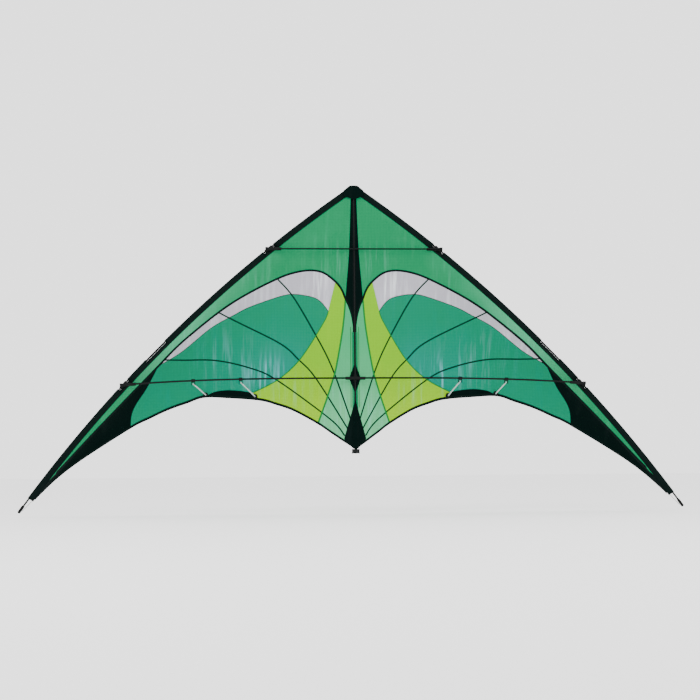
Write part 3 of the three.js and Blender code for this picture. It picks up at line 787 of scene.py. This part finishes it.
class KITE_OT_stage(bpy.types.Operator):
    """Camera, floor and soft studio light"""

    bl_idname = "kite.stage"
    bl_label = "Stage"

    def execute(self, context):
        s = context.scene.kite_stage
        camera = bpy.data.objects.new("Camera", bpy.data.cameras.new("Camera"))
        context.scene.collection.objects.link(camera)
        camera.data.lens = s.lens
        camera.data.sensor_width = 36
        camera.data.clip_end = 60
        aim = Vector((-0.0165, 0, 0.0965))
        level = math.cos(s.elevation)
        away = Vector((math.sin(s.azimuth) * level, -math.cos(s.azimuth) * level, math.sin(s.elevation)))
        camera.location = aim + away * s.distance
        turn = (-away).to_track_quat("-Z", "Y").to_matrix()
        camera.rotation_euler = (turn @ Matrix.Rotation(s.roll, 3, "Z")).to_euler()
        context.scene.camera = camera

        floor_z = CAD_BOX[0][2] - 0.012
        floor = bpy.data.meshes.new("Floor")
        floor.from_pydata([(-30, -12, floor_z), (30, -12, floor_z), (30, 40, floor_z), (-30, 40, floor_z)],
                          [], [(0, 1, 2, 3)])
        floor = bpy.data.objects.new("Floor", floor)
        context.scene.collection.objects.link(floor)
        material, n, shader = start_material("Floor")
        shader.inputs["Base Color"].default_value = opaque(s.floor)
        shader.inputs["Roughness"].default_value = 0.9
        floor.data.materials.append(material)

        world = bpy.data.worlds.new("Studio")
        world.use_nodes = True
        world.node_tree.nodes["Background"].inputs["Color"].default_value = (1, 1, 1, 1)
        world.node_tree.nodes["Background"].inputs["Strength"].default_value = s.world
        context.scene.world = world
        for name, place, size, power in (
            ("Key light", (-2.4, -4.5, 3.0), 2.5, s.key),
            ("Fill light", (3.2, -3.8, 1.2), 3.0, s.key * 0.45),
        ):
            lamp = bpy.data.lights.new(name, "AREA")
            lamp.energy = power
            lamp.size = size
            lamp = bpy.data.objects.new(name, lamp)
            lamp.location = place
            lamp.rotation_euler = (-Vector(place)).to_track_quat("-Z", "Y").to_euler()
            context.scene.collection.objects.link(lamp)
        return {"FINISHED"}


class KITE_OT_sail(bpy.types.Operator):
    """The eight cloth panels of each wing"""

    bl_idname = "kite.sail"
    bl_label = "Sail panels"

    def execute(self, context):
        panels = {
            "centre_wedge": ("black", "black_cloth", coons(
                np.array([(0.3, 640), (0.3, 158)]), WEDGE_SIDE,
                np.array([(0.3, 640), (9, 640)]), WEDGE_FOOT, 14, 60)),
            "leading_panel": ("emerald", "emerald_cloth", upright(
                np.concatenate([WEDGE_SIDE, EYE_INNER[1:], EYE_CROWN[1:], EYE_TAIL[1:]]), 24)),
            "silver_crescent": ("silver", "silver_laminate", coons(
                LIME_TOP, np.array([(669, 45), (669.01, 45)]), EYE_CROWN, CRESCENT_FOOT, 90, 16)),
            "teal_panel": ("teal", "teal_cloth", ruled(
                stretch(LIME_SIDE, stretch(SCUFF_TOP, hem_line(512, 764))),
                stretch(CRESCENT_FOOT, TIP_SIDE), 110, 44)),
            "lime_panel": ("lime", "lime_cloth", coons(
                PALE_SIDE, np.concatenate([EYE_INNER, LIME_TOP[1:], LIME_SIDE[1:], [(323, -68)]]),
                np.array([(30, 272), (30.01, 272)]), hem_line(124, 323), 44, 80)),
            "pale_panel": ("pale", "pale_green_cloth", coons(
                np.array([(0.3, 158), (0.3, -239.5)]), PALE_SIDE, WEDGE_FOOT, hem_line(0.3, 124), 48, 60)),
            "scuff_patch": ("black", "black_cloth", ruled(
                hem_line(323, 512), np.concatenate([[(323, -68)], SCUFF_TOP]), 40, 6)),
            "tip_panel": ("black", "black_cloth", ruled(
                stretch(TIP_SIDE, hem_line(764, 1066)),
                stretch(EYE_TAIL, sleeve_line(1037, 1067, 14.5, 20)), 90, 20)),
        }
        for side, sign in SIDES.items():
            for name, (material, slot, flat) in panels.items():
                x, z = flat[..., 0], flat[..., 1]
                grid = on_sail(flat)
                piece = Shell().add(grid).piece(
                    f"{side}_{name}_cloth", sign, MATERIALS[material], context.scene.kite_sail.cloth,
                    {"fade": painted_light_of(name, x, z), "shine": shine_of(name, x, z)})
                if flat[..., 0].min() < FOLD_REACH / MM:
                    bend_at_spine(piece, side)
                else:
                    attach(piece, f"{side}_wing")
                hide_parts(f"{side}_{name}")
        return {"FINISHED"}


def painted_light_of(name, x, z):
    """How far a panel's colour goes towards its bright shade, from 0 to 1 over its surface: painted light,
    which makes parts of a panel brighter than its dye.
    """
    if name == "leading_panel":
        below = edge_height(np.clip(x, 0, 1080), SLEEVE_INSET) - z
        along = np.exp(-(((x - 580) / 150) ** 2)) + 0.12 * np.exp(-(((x - 330) / 120) ** 2))
        return np.clip(along * np.exp(-((below / 75) ** 2)), 0, 1)
    if name == "teal_panel":
        return np.exp(-((((x - 250) / 190) ** 2) + ((z - 25) / 120) ** 2))
    if name == "lime_panel":
        return np.clip((60 - z) / 160, 0, 1)
    if name == "pale_panel":
        return np.clip((120 - z) / 330, 0, 1)
    return np.zeros_like(x)


def shine_of(name, x, z):
    """How strongly painted glints of reflection show, from 0 to 1 over a panel."""
    spots = {
        "leading_panel": ((70, 400, 50, 50, 0.22), (330, 340, 80, 40, 0.1), (600, 130, 160, 60, 0.2)),
        "teal_panel": ((300, 12, 55, 50, 0.95), (420, 60, 110, 90, 0.25)),
        "silver_crescent": ((125, 320, 40, 60, 0.9), (620, 60, 60, 50, 0.9), (330, 270, 90, 60, 0.3)),
        "lime_panel": ((240, -40, 90, 60, 0.25),),
        "pale_panel": ((60, -120, 60, 90, 0.4),),
    }.get(name, ())
    return np.clip(sum((level * np.exp(-(((x - cx) / sx) ** 2 + ((z - cz) / sz) ** 2))
                        for cx, cz, sx, sz, level in spots), np.zeros_like(x)), 0, 1)


class KITE_OT_seams(bpy.types.Operator):
    """Binding round the eye, seams between panels and seams that fan out from the tail"""

    bl_idname = "kite.seams"
    bl_label = "Seams"

    def execute(self, context):
        sizes = context.scene.kite_sail
        groups = {
            "eye_binding": ("binding", "black_cloth", sizes.binding, 0.9,
                            [np.concatenate([WEDGE_FOOT, EYE_INNER[1:], EYE_CROWN[1:], EYE_TAIL[1:-3]])]),
            "fan_seams": ("seam_dark", "black_cloth", sizes.seam, 0.7,
                          [smooth(line, 60) for line in FAN_SEAMS]),
            "pale_seam": ("seam_green", "emerald_cloth", 0.006, 0.8, [PALE_SIDE[:-1]]),
            "spine_seam": ("seam_green", "emerald_cloth", 0.0022, 0.8, [np.array([(14, 176), (14, -100)])]),
            "lime_seam": ("seam_green", "emerald_cloth", 0.0036, 0.8, [LIME_SIDE]),
            "eye_seam": ("seam_dark", "teal_cloth", 0.0018, 0.6, [CRESCENT_FOOT]),
        }
        for side, sign in SIDES.items():
            for name, (material, slot, width, thickness, lines) in groups.items():
                shell = Shell()
                for line in lines:
                    shell.add(tape(line, width / MM, thickness, 140), closed=True, capped=True)
                piece = shell.piece(f"{side}_{name}", sign, MATERIALS[material])
                if min(line[:, 0].min() for line in lines) < 60:
                    bend_at_spine(piece, side)
                else:
                    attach(piece, f"{side}_wing")
        return {"FINISHED"}


class KITE_OT_edges(bpy.types.Operator):
    """Sleeves along the leading edges and bindings along the trailing edges"""

    bl_idname = "kite.edges"
    bl_label = "Sleeves and hems"

    def execute(self, context):
        sizes = context.scene.kite_sail
        hem = sizes.hem / MM
        x = np.linspace(0.3, 1082, 220)
        low = np.stack([x, trailing_height(x)], -1)
        high = np.stack([x, np.minimum(trailing_height(x) + hem, edge_height(x, SLEEVE_INSET - 3))], -1)
        section = ((0, 0.0), (0.04, -1), (0.5, -0.8), (0.94, -0.9), (1, -0.3), (1, 0.3), (0.94, 0.9),
                   (0.5, 0.8), (0.04, 1))
        binding = np.stack([on_sail(low * (1 - v) + high * v, y * 1.0) for v, y in section], 1)

        sleeve_section = [(-SLEEVE_INSET, 0.8), (-11.5, 0.85), (-6.6, 1.5)]
        sleeve_section += [(-4.5 * math.cos(a), 4.5 * math.sin(a)) for a in
                           np.radians(np.linspace(34, 326, 26))]
        sleeve_section += [(-6.6, -1.5), (-11.5, -0.85), (-SLEEVE_INSET, -0.8)]
        flange_section = [(-SLEEVE_INSET, 0.8), (-11.5, 0.85), (-3.9, 0.8), (-3.6, 0.0), (-3.9, -0.8),
                          (-11.5, -0.85), (-SLEEVE_INSET, -0.8)]
        runs, start = [], fall_at(20.0)
        for centre, length in CUTOUTS:
            half = length / 2 / EDGE_RADIUS
            runs.append((start, fall_at(centre) - half, sleeve_section))
            runs.append((fall_at(centre) - half, fall_at(centre) + half, flange_section))
            start = fall_at(centre) + half
        runs.append((start, SLEEVE_END_FALL, sleeve_section))
        for side, sign in SIDES.items():
            hem_piece = Shell().add(binding, closed=True, capped=True).piece(
                f"{side}_trailing_hem_binding", sign, MATERIALS["binding"])
            bend_at_spine(hem_piece, side)
            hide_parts(f"{side}_trailing_hem")
            length = run_of(on_sail(low))

            shell = Shell()
            for begin, end, profile in runs:
                count = max(4, int((end - begin) * EDGE_RADIUS / 14))
                flat = edge_point(np.linspace(begin, end, count))
                path = np.stack([flat[:, 0], np.zeros(count), flat[:, 1]], -1)
                grid = sweep(path, profile)
                shell.add(grid)
            sleeve = shell.piece(f"{side}_edge_sleeve_cloth", sign, MATERIALS["sleeve"], sizes.cloth * 2)
            bend_at_spine(sleeve, side)
            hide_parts(f"{side}_edge_sleeve")
            length = float((SLEEVE_END_FALL - fall_at(20.0)) * EDGE_RADIUS * MM)
        return {"FINISHED"}


class KITE_OT_middle(bpy.types.Operator):
    """Tape, patches, nose cover and webbing along the spine"""

    bl_idname = "kite.middle"
    bl_label = "Middle"

    def execute(self, context):
        for side, sign in SIDES.items():
            for part, material, slot, top, foot, wide in (
                    ("upper", "binding", "black_cloth", 612, 158, 6.2),
                    ("lower", "emerald", "emerald_cloth", 157, -120, 9.8)):
                strip = ruled(np.array([(0, top), (0, foot)]), np.array([(wide, top), (wide, foot)]), 60, 4)
                self.cloth(side, f"{side}_centre_tape_{part}", material, slot,
                           on_sail(strip, -0.75), ["centre_tape"])
            diamond = ruled(np.array([(0, 52.7), (0, 0), (0, -52.7)]),
                            np.array([(0.3, 52.7), (20, 0), (0.3, -52.7)]), 30, 10)
            self.cloth(side, f"{side}_tee_patch_cloth", "black", "black_cloth",
                       on_sail(diamond, -1.35), [f"{side}_tee_patch"], 0.0005)
            self.cloth(side, f"{side}_tail_patch_half", "black", "black_cloth",
                       over_spine(ruled(np.array([(0, -79), (0, -243)]),
                                        np.array([(1.5, -79), (38, -207), (10, -239)]), 50, 24)),
                       ["tail_patch"], 0.0007)
            self.cloth(side, f"{side}_nose_cover_half", "black", "black_cloth",
                       nose_hood(), ["nose_cover"], 0.001)
        loop = Shell().add(webbing_loop(), closed=True, capped=True)
        piece = loop.piece("tail_loop_webbing", 1, MATERIALS["webbing"])
        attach(piece, "keel")
        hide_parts("tail_loop")
        return {"FINISHED"}

    def cloth(self, side, name, material, slot, grid, nodes, thickness=0.0004):
        piece = Shell().add(grid).piece(name, SIDES[side], MATERIALS[material], thickness)
        bend_at_spine(piece, side)
        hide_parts(*nodes)


def over_spine(flat):
    """Flat points on the front of the sail, lifted over the spine: near it the cloth stands in front
    of the tube, and it falls to the sail between 3.5 and 11 mm away."""
    x, z = flat[..., 0], flat[..., 1]
    down = np.clip((x - 3.0) / 8.0, 0, 1)
    down = down * down * (3 - 2 * down)
    y = (1 - down) * -7.7 + down * (sail_depth(x, z) - 1.3)
    return np.stack([x, y, z], -1)


def nose_hood():
    """Half of the hood over the nose: a sheet in front of the spine that rolls over the leading
    edge's outer side and ends behind it."""
    u = np.linspace(0, 1, 30)
    foot = np.stack([34 * u, 614 + 12 * u], -1)
    x = np.linspace(0, 34, 30)
    rim = edge_height(np.maximum(x, 13), -5.1 - 1.7 * (1 - (x / 34) ** 2))
    head = np.stack([x, np.where(x < 13, rim + 0.4 * (1 - (x / 13) ** 2), rim)], -1)
    v = np.linspace(0, 1, 16)[None, :, None]
    front = foot[:, None] * (1 - v) + head[:, None] * v
    crown = np.sin(v[..., 0] * math.pi) * 0.8
    y_front = np.full(front.shape[:2], -7.9) - crown + 1.9 * (u[:, None] ** 3)
    angle = np.linspace(0.15, math.pi, 12)
    rolled = np.repeat(head[:, None], len(angle), 1)
    rolled[..., 1] += np.sin(angle) * (1.2 - 0.9 * u[:, None] ** 2)
    y_rolled = -1.7 - (6.2 - 1.9 * u[:, None] ** 3) * np.cos(angle)
    flat = np.concatenate([front, rolled], 1)
    y = np.concatenate([y_front, y_rolled], 1)
    return np.stack([flat[..., 0], y, flat[..., 1]], -1)


def webbing_loop():
    """Webbing folded under the end of the spine: a U in the plane of Y and Z, closed round its
    thickness, and a little wider at its foot."""
    t = np.linspace(0, 1, 40)
    angle = math.pi * np.clip((t - 0.3) / 0.4, 0, 1)
    half = 6.5
    y = -3.9 - (half - 0.8) * np.cos(angle)
    straight = np.where(t < 0.3, (0.3 - t) / 0.3, np.where(t > 0.7, (t - 0.7) / 0.3, 0))
    z = -251.5 - 5.0 * np.sin(angle) + straight * 9.5
    path = np.stack([np.zeros_like(t), y, z], -1)
    along = np.gradient(path, axis=0)
    along /= np.linalg.norm(along, axis=1)[:, None]
    out = np.stack([np.zeros_like(t), -along[:, 2], along[:, 1]], -1)
    width = 12.5 + 0.9 * np.sin(angle)
    side = np.linspace(-1, 1, 12)
    lobes = 0.5 * np.cos(side * 2 * math.pi)
    rows = []
    for face, order in ((1, 1), (-1, -1)):
        s = side[::order]
        offset = face * 0.8
        rows.append(path[:, None] + out[:, None] * offset
                    + np.stack([width[:, None] * s[None], np.zeros((len(t), 12)),
                                -lobes[None, ::order] * np.sin(angle)[:, None]], -1))
    return np.concatenate(rows, 1)


class KITE_OT_rods(bpy.types.Operator):
    """Edge tubes, spine, spreaders, stand-offs and tension cords"""

    bl_idname = "kite.rods"
    bl_label = "Rods"

    def execute(self, context):
        joint = fall_at(EDGE_JOINT_X)
        for side, sign in SIDES.items():
            for name, begin, end in (("upper", fall_at(14.0), joint - 0.00002),
                                     ("lower", joint + 0.0001, TIP_FALL - 4 / EDGE_RADIUS)):
                flat = edge_point(np.linspace(begin, end, 60))
                path = np.stack([flat[:, 0], 0 * flat[:, 0], flat[:, 1]], -1)
                self.rod(f"{side}_{name}_edge_tube", sign, path, 3.0, f"{side}_wing", "carbon")
            x = np.linspace(9.7, LOWER_FITTING_X - 0.5, 60)
            path = np.stack([x, np.full_like(x, SPREADER_Y), spreader_height(x)], -1)
            self.rod(f"{side}_lower_spreader", sign, path, 3.0, f"{side}_lower_spreader", "carbon")
            for which, foot, clip in zip(("inner", "outer"), FEET, CLIP_X[side]):
                front = np.array((clip, -7.0, spreader_height(clip) - 10.5))
                pivot = np.array((foot[0], float(sail_depth(*foot)) - 7.5, foot[1]))
                past = (pivot - front) / np.linalg.norm(pivot - front)
                path = np.linspace(front + 0.5 * past, pivot + 1.7 * past, 12)
                node = f"{side}_{which}_standoff"
                self.rod(node, sign, path, 2.2, node, "fibreglass")
            ends = (edge_point(SLEEVE_END_FALL + 2 / EDGE_RADIUS, 13),
                    edge_point(TIP_FALL - 10 / EDGE_RADIUS, 6.6))
            path = np.linspace(*[(p[0], 0, p[1]) for p in ends], 16)
            self.rod(f"{side}_tension_cord", sign, path, 0.9, f"{side}_wing", "cord")
        spine = np.linspace((0, SPINE_Y, -250.5), (0, SPINE_Y, 639.5), 40)
        self.rod("spine", 1, spine, 3.0, "keel", "carbon")
        reach = UPPER_FITTING_X - 1.5
        height = edge_height(UPPER_FITTING_X)
        across = np.linspace((-reach, SPREADER_Y, height), (reach, SPREADER_Y, height), 40)
        self.rod("upper_spreader", 1, across, 2.5, "upper_spreader", "carbon")
        return {"FINISHED"}

    def rod(self, node, sign, path, radius, body, material):
        piece = Shell().add(tube(path, radius), closed=True, capped=True).piece(
            f"{node}_rod", sign, MATERIALS[material])
        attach(piece, body)
        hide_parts(node)


def spreader_height(x):
    """Height of a lower spreader: it bows down as the cube of the distance from the tee."""
    return float(edge_height(LOWER_FITTING_X)) * (np.asarray(x, float) / LOWER_FITTING_X) ** 3


class KITE_OT_fittings(bpy.types.Operator):
    """Moulded tee, edge fittings, clips, feet, nocks and cap"""

    bl_idname = "kite.fittings"
    bl_label = "Fittings"

    def execute(self, context):
        nodes = {"centre_tee": 0.0009, "spine_cap": 0.0004}
        for side in SIDES:
            nodes.update({f"{side}_{name}": bevel for name, bevel in (
                ("upper_fitting", 0.0008), ("lower_fitting", 0.0008), ("inner_clip", 0.0006),
                ("outer_clip", 0.0006), ("inner_standoff_foot", 0.0005),
                ("outer_standoff_foot", 0.0005), ("nock", 0.0004))})
        for node, bevel in nodes.items():
            piece = softened(node, MATERIALS["rubber"], bevel)
            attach(piece, body_of(bpy.data.objects[node])[0])
            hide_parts(node)
        for side in SIDES:
            bpy.data.objects[f"{side}_edge_ferrule"].material_slots[0].material = MATERIALS["carbon"]
        return {"FINISHED"}


class KITE_PT_panel(bpy.types.Panel):
    """Buttons for the kite's pieces"""

    bl_label = "Stunt kite"
    bl_idname = "KITE_PT_panel"
    bl_space_type = "VIEW_3D"
    bl_region_type = "UI"
    bl_category = "Kite"

    def draw(self, context):
        for operator in OPERATORS:
            self.layout.operator(operator.bl_idname)
        for settings in (context.scene.kite_sail, context.scene.kite_colours, context.scene.kite_stage):
            for key in settings.__annotations__:
                self.layout.prop(settings, key)


OPERATORS = (KITE_OT_stage, KITE_OT_sail, KITE_OT_seams, KITE_OT_edges, KITE_OT_middle, KITE_OT_rods,
             KITE_OT_fittings)
CLASSES = (KiteSail, KiteColours, KiteStage, *OPERATORS, KITE_PT_panel)


def register():
    for cls in CLASSES:
        bpy.utils.register_class(cls)
    bpy.types.Scene.kite_sail = bpy.props.PointerProperty(type=KiteSail)
    bpy.types.Scene.kite_colours = bpy.props.PointerProperty(type=KiteColours)
    bpy.types.Scene.kite_stage = bpy.props.PointerProperty(type=KiteStage)


def unregister():
    for name in ("kite_sail", "kite_colours", "kite_stage"):
        delattr(bpy.types.Scene, name)
    for cls in reversed(CLASSES):
        bpy.utils.unregister_class(cls)


def main():
    register()
    make_materials()
    bpy.ops.kite.stage()
    bpy.ops.kite.rods()
    bpy.ops.kite.edges()
    bpy.ops.kite.sail()
    bpy.ops.kite.seams()
    bpy.ops.kite.middle()
    bpy.ops.kite.fittings()


if __name__ == "__main__":
    main()
